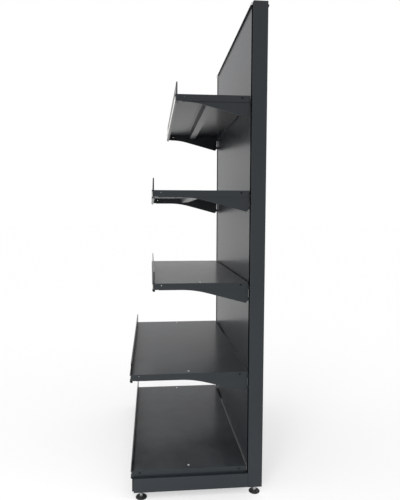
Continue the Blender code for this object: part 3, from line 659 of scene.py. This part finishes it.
def plug_shape():
    """Push-in plug with a low round head, its shank below Z = 0: a black stand-in for the shade in a flange
    hole.
    """
    work = bmesh.new()
    shank = [(PLUG_SHANK_RADIUS, -PLUG_SHANK), (PLUG_SHANK_RADIUS, -PLUG_SINK), (PLUG_RADIUS, -PLUG_SINK)]
    head = [(PLUG_RADIUS * wide, PLUG_HEIGHT * tall) for wide, tall in PLUG_PROFILE]
    add_turned(work, shank + head, SMALL_SIDES)
    return in_scene("plug_shape", mesh_from(work, "plug_shape"))


def make_rivets(tree, zinc):
    """Two rivets through each deck into its stiffener."""
    shape = rivet_shape()
    for shelf, body in SHELF_BODIES.items():
        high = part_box(shelf + "_deck")[1]
        middle = box_centre(*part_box(shelf + "_stiffener"))[1]
        places = [((side * (high.x - RIVET_FROM_END), middle, high.z), (0, 0, 1)) for side in SIDES.values()]
        grown(shelf + "_rivets", facing_points(shelf + "_rivet_points", places), tree,
              {"Fitting": shape, "Size": 1.0, "Material": zinc}, body)
    bpy.data.objects.remove(shape)


def make_screws(tree, zinc):
    """The screws that hold the trays of the back to the uprights, inside their returns."""
    shape = screw_shape()
    places = []
    for panel in PANELS:
        low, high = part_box(panel)
        for side in SIDES.values():
            for z in (low.z + SCREW_FROM_EDGE, high.z - SCREW_FROM_EDGE):
                places.append(((side * (high.x - PANEL_SHEET), low.y + SCREW_SETBACK, z), (-side, 0, 0)))
    grown("panel_screws", facing_points("panel_screw_points", places), tree,
          {"Fitting": shape, "Size": 1.0, "Material": zinc}, "frame")
    bpy.data.objects.remove(shape)


def make_shade_plugs(tree, hole_shade):
    """Black plugs in the end flanges, painted shade for the holes: in each shelf's rear holes, and in the
    front holes of the base.
    """
    shape = plug_shape()
    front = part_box("upright_right")[0].y
    for shelf, body in SHELF_BODIES.items():
        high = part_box(shelf + "_deck")[1]
        reaches = (FRONT_PLUG_REACH, REAR_PLUG_REACH) if shelf == "base" else (REAR_PLUG_REACH,)
        places = [((side * high.x, front - reach, high.z - PLUG_DROP), (side, 0, 0))
                  for side in SIDES.values() for reach in reaches]
        grown(shelf + "_flange_plugs", facing_points(shelf + "_plug_points", places), tree,
              {"Fitting": shape, "Size": 1.0, "Material": hole_shade}, body)
    bpy.data.objects.remove(shape)


def make_stud(foot, tree, zinc):
    """Threaded stud with a hexagon collar, in the place of its plain solid."""
    low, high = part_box("foot_stud_" + foot)
    centre = box_centre(low, high)
    collar_low = low.z + COLLAR_LIFT
    collar_high = collar_low + COLLAR_HEIGHT
    work = bmesh.new()
    add_turned(work, [(THREAD_CREST * STUD_FOOT, low.z), (THREAD_CREST * STUD_FOOT, collar_low),
                      (THREAD_CORE, collar_high), (THREAD_CORE, high.z - STUD_TIP_LENGTH),
                      (THREAD_CORE * STUD_TIP, high.z)], SMALL_SIDES, centre)
    add_hexagon(work, (high.x - low.x) / 2, collar_low, collar_high, COLLAR_CHAMFER, centre)
    length = high.z - collar_high - THREAD_RUNOUT
    values = {"Turns": length / THREAD_PITCH, "Length": length, "Ridge Radius": THREAD_CREST - THREAD_RIDGE,
              "Ridge Size": THREAD_RIDGE, "Start": (*centre, collar_high + THREAD_START), "Material": zinc}
    piece = grown("threaded_stud_" + foot, mesh_from(work, "stud_core_" + foot), tree, values, "foot_" + foot)
    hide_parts("foot_stud_" + foot)


def make_pad(foot, plastic):
    """Turned foot pad with a rounded rim and a raised boss, in the place of its plain solid."""
    low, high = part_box("foot_pad_" + foot)
    radius = (high.x - low.x) / 2
    profile = [(radius - inset, low.z + height) for inset, height in PAD_RIM]
    profile += [(waist, low.z + height) for waist, height in PAD_WAIST]
    profile += [(boss, high.z - drop) for boss, drop in PAD_BOSS]
    work = bmesh.new()
    add_turned(work, profile, PAD_SIDES, box_centre(low, high))
    show("pad_" + foot, mesh_from(work, "pad_" + foot), "foot_" + foot, plastic,
         ("foot_pad_" + foot,))


def strip_bead(front, middle):
    """The half round of a strip's bead as (y, z) points, from its top to its foot."""
    turns = [math.pi * (0.5 - i / STRIP_BEAD_STEPS) for i in range(STRIP_BEAD_STEPS + 1)]
    radius = STRIP_BEAD / 2
    return [(front + radius - radius * math.cos(turn), middle + radius * math.sin(turn)) for turn in turns]


def make_ticket_strip(shelf, body, plastic):
    """Extruded ticket strip with a rolled bead along its top and foot, in the place of its plain solid."""
    low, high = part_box(shelf + "_ticket_strip")
    face = low.y + STRIP_FACE
    section = [(high.y, low.z + STRIP_EDGE), (high.y, high.z - STRIP_EDGE)]
    section += strip_bead(low.y, high.z - STRIP_BEAD / 2)
    section += [(face, high.z - STRIP_BEAD - STRIP_STEP), (face, low.z + STRIP_BEAD + STRIP_STEP)]
    section += strip_bead(low.y, low.z + STRIP_BEAD / 2)
    work = bmesh.new()
    ends = [[work.verts.new((x, y, z)) for y, z in section] for x in (low.x, high.x)]
    for i in range(len(section)):
        j = (i + 1) % len(section)
        work.faces.new((ends[0][i], ends[0][j], ends[1][j], ends[1][i]))
    for end in ends:
        work.faces.new(end)
    show(shelf + "_ticket_rail", mesh_from(work, shelf + "_ticket_rail"), body, plastic,
         (shelf + "_ticket_strip",))


def make_welds(tree, paint):
    """The weld beads between each leg and its upright, on the inner side and underneath."""
    lines, edges = [], []
    for side, sign in SIDES.items():
        low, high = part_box("base_leg_" + side)
        inner = min(abs(low.x), abs(high.x)) * sign
        outer = max(abs(low.x), abs(high.x)) * sign
        inset = BEAD_FROM_SIDE * sign
        y = high.y - BEAD_SPREAD
        for ends in (((inner, y, low.z + BEAD_FROM_FOOT), (inner, y, high.z - BEAD_FROM_TOP)),
                     ((inner + inset, y, low.z), (outer - inset, y, low.z))):
            edges.append((len(lines), len(lines) + 1))
            lines += ends
    base = bpy.data.meshes.new("weld_lines")
    base.from_pydata(lines, edges, [])
    grown("leg_welds", base, tree, {"Bead Radius": BEAD_RADIUS, "Ripple": BEAD_RIPPLE, "Material": paint},
          "frame")


def paint_kind(name):
    """Which of the paints a painted node has."""
    if name.startswith("upright"):
        return "upright"
    if name.startswith("back_panel") or name.endswith("_rail"):
        return "panel"
    for shelf in SHELF_BODIES:
        if name.startswith(shelf + "_") and not name.startswith("base_leg"):
            return shelf
    return "frame"


def dress_nodes(paints, materials):
    """The CAD nodes that keep their shape get the material of their finish."""
    for subpart in frame["record"]["subparts"]:
        name, slot = subpart["node"], subpart["material_slot"]
        material = materials.get(slot) or paints[paint_kind(name)]
        for place in frame["nodes"][name].material_slots:
            place.material = material


def aim(thing, forward, roll=0.0):
    """Turns a camera or a lamp to look along a direction."""
    forward = Vector(forward).normalized()
    right = forward.cross(Vector((0, 0, 1))).normalized()
    up = right.cross(forward)
    turn = Matrix((right, up, -forward)).transposed() @ Matrix.Rotation(roll, 3, "Z")
    thing.matrix_world = Matrix.Translation(thing.location) @ turn.to_4x4()


def make_camera():
    """The camera, at the photograph's place and angle."""
    data = bpy.data.cameras.new("photo_camera")
    data.sensor_fit = "VERTICAL"
    data.sensor_height = FRAME_HEIGHT
    data.lens = LENS
    data.shift_x = SHIFT_RIGHT
    data.shift_y = SHIFT_UP
    data.clip_end = CAMERA_FAR
    camera = in_scene("photo_camera", data)
    camera.location = CAMERA_PLACE
    level = math.cos(CAMERA_PITCH)
    forward = (-level * math.cos(CAMERA_YAW), level * math.sin(CAMERA_YAW), math.sin(CAMERA_PITCH))
    aim(camera, forward, CAMERA_ROLL)
    bpy.context.scene.camera = camera


def seen_rays(tree):
    """One for the rays that see or mirror the surroundings, and zero for those that light them."""
    rays = node(tree, "ShaderNodeLightPath").outputs
    mirrored = math_node(tree, "MAXIMUM", rays["Is Glossy Ray"], rays["Is Transmission Ray"])
    return math_node(tree, "MAXIMUM", rays["Is Camera Ray"], mirrored)


def make_floor():
    """A plain pale floor, whose shadow is seen a little paler than it falls."""
    work = bmesh.new()
    work.faces.new(add_ring(work, FLOOR_RADIUS, 0.0, FLOOR_SIDES, (0.0, 0.0)))
    material, tree, shader = new_material("floor_pale")
    feed(tree, shader, {"Base Color": FLOOR_COLOUR, "Roughness": FLOOR_ROUGHNESS, "Specular IOR Level": 0.0})
    share = math_node(tree, "MULTIPLY", seen_rays(tree), FLOOR_WHITE_SHARE)
    white = node(tree, "ShaderNodeEmission", {"Color": WHITE, "Strength": 1.0}).outputs[0]
    paler = node(tree, "ShaderNodeMixShader", {0: share, 1: shader.outputs[0], 2: white}).outputs[0]
    feed(tree, tree.nodes["Material Output"], {"Surface": paler})
    floor = in_scene("floor", mesh_from(work, "floor"))
    floor.data.materials.append(material)


def make_sky():
    """An even white studio."""
    world = bpy.data.worlds.new("studio")
    bpy.context.scene.world = world
    world.use_nodes = True
    tree = world.node_tree
    feed(tree, tree.nodes["Background"], {"Color": WHITE, "Strength": SKY_LIGHT})


def make_lamp(name, place, size, power, cone):
    """A large soft lamp."""
    data = bpy.data.lights.new(name, "AREA")
    data.shape = "SQUARE"
    data.size = size
    data.energy = power
    data.spread = cone
    lamp = in_scene(name, data)
    lamp.location = place
    aim(lamp, Vector(LAMP_AIM) - Vector(place))


def main():
    """The whole scene."""
    bpy.context.scene.view_settings.view_transform = "Standard"
    make_camera()
    paints, grain = make_paints(), make_grain_group()
    cap_plastic = make_moulding("cap_plastic", grain, CAP_PLASTIC, CAP_PLASTIC_DRIFT, CAP_ROUGHNESS)
    foot_plastic = make_moulding("foot_plastic", grain, FOOT_PLASTIC, FOOT_PLASTIC_DRIFT, FOOT_ROUGHNESS)
    # Painted shade: the plugs' near-black stands in for the shade in the flange holes
    hole_shade = make_moulding("plug_painted_shade", grain, PLUG_SHADE_TONE, PLUG_SHADE_DRIFT, PLUG_ROUGHNESS, PLUG_GLOSS)
    zinc = make_zinc("zinc_plate", (ZINC, ZINC_DULL), ZINC_METAL)
    # Painted highlight: rivet heads in near-white zinc, their glint painted in
    rivet_glint = make_zinc("rivet_painted_glint", (RIVET_GLINT, RIVET_GLINT_DULL), RIVET_METAL)
    ticket = make_ticket_plastic()
    dress_nodes(paints, {"anthracite_plastic": cap_plastic, "black_plastic": foot_plastic,
                         "bright_zinc": zinc, "ticket_white": ticket})
    fittings = make_fitting_tree()
    make_rivets(fittings, rivet_glint)
    make_shade_plugs(fittings, hole_shade)
    make_screws(fittings, zinc)
    thread = make_thread_tree()
    for foot in FEET:
        make_stud(foot, thread, zinc)
        make_pad(foot, foot_plastic)
    for shelf, body in SHELF_BODIES.items():
        make_ticket_strip(shelf, body, ticket)
    make_welds(make_bead_tree(), paints["frame"])
    make_floor()
    make_sky()
    make_lamp("key_lamp", **KEY_LAMP)
    make_lamp("fill_lamp", **FILL_LAMP)


main()
